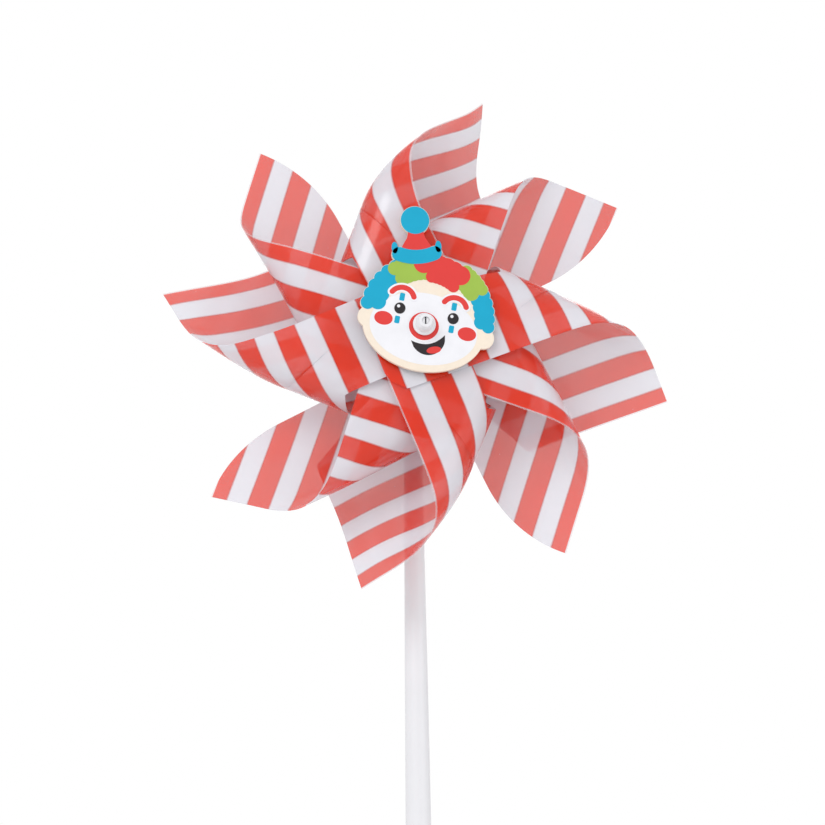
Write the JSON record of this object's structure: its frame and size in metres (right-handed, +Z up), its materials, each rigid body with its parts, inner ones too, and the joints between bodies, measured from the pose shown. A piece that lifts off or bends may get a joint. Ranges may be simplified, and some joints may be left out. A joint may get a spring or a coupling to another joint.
{
  "type": "pinwheel",
  "caption": "Toy pinwheel with two interleaved striped film sheets curled to a hub, a die-cut clown face badge, a round nose cap and a tapered plastic stick.",
  "frame": {"origin": "centre of the stick's flat foot", "axes": "+Z up the stick, -Y forward along the axle out of the nose, +X to the right of someone who looks at the face"},
  "size_m": [0.162, 0.0544, 0.3786],
  "materials": {
    "white_plastic": "moulded, glossy white",
    "striped_film": "thin glossy film with red and white stripes",
    "printed_card": "printed die-cut card"
  },
  "bodies": {
    "handle": {"stick": "white_plastic", "axle_pin": "white_plastic", "rear_collar": "white_plastic", "nose_cap": "white_plastic"},
    "wheel": {"petal_sheet_rear": "striped_film", "petal_sheet_front": "striped_film", "hub_spacer": "white_plastic"},
    "badge": {"face_badge": "printed_card"}
  },
  "joints": [
    {"name": "wheel_spin", "type": "hinge", "parent": "handle", "child": "wheel", "pos_m": [0, -0.02, 0.3], "axis": [0, -1, 0], "continuous": true},
    {"name": "badge_spin", "type": "hinge", "parent": "handle", "child": "badge", "pos_m": [0, -0.0418, 0.3], "axis": [0, -1, 0], "continuous": true}
  ]
}
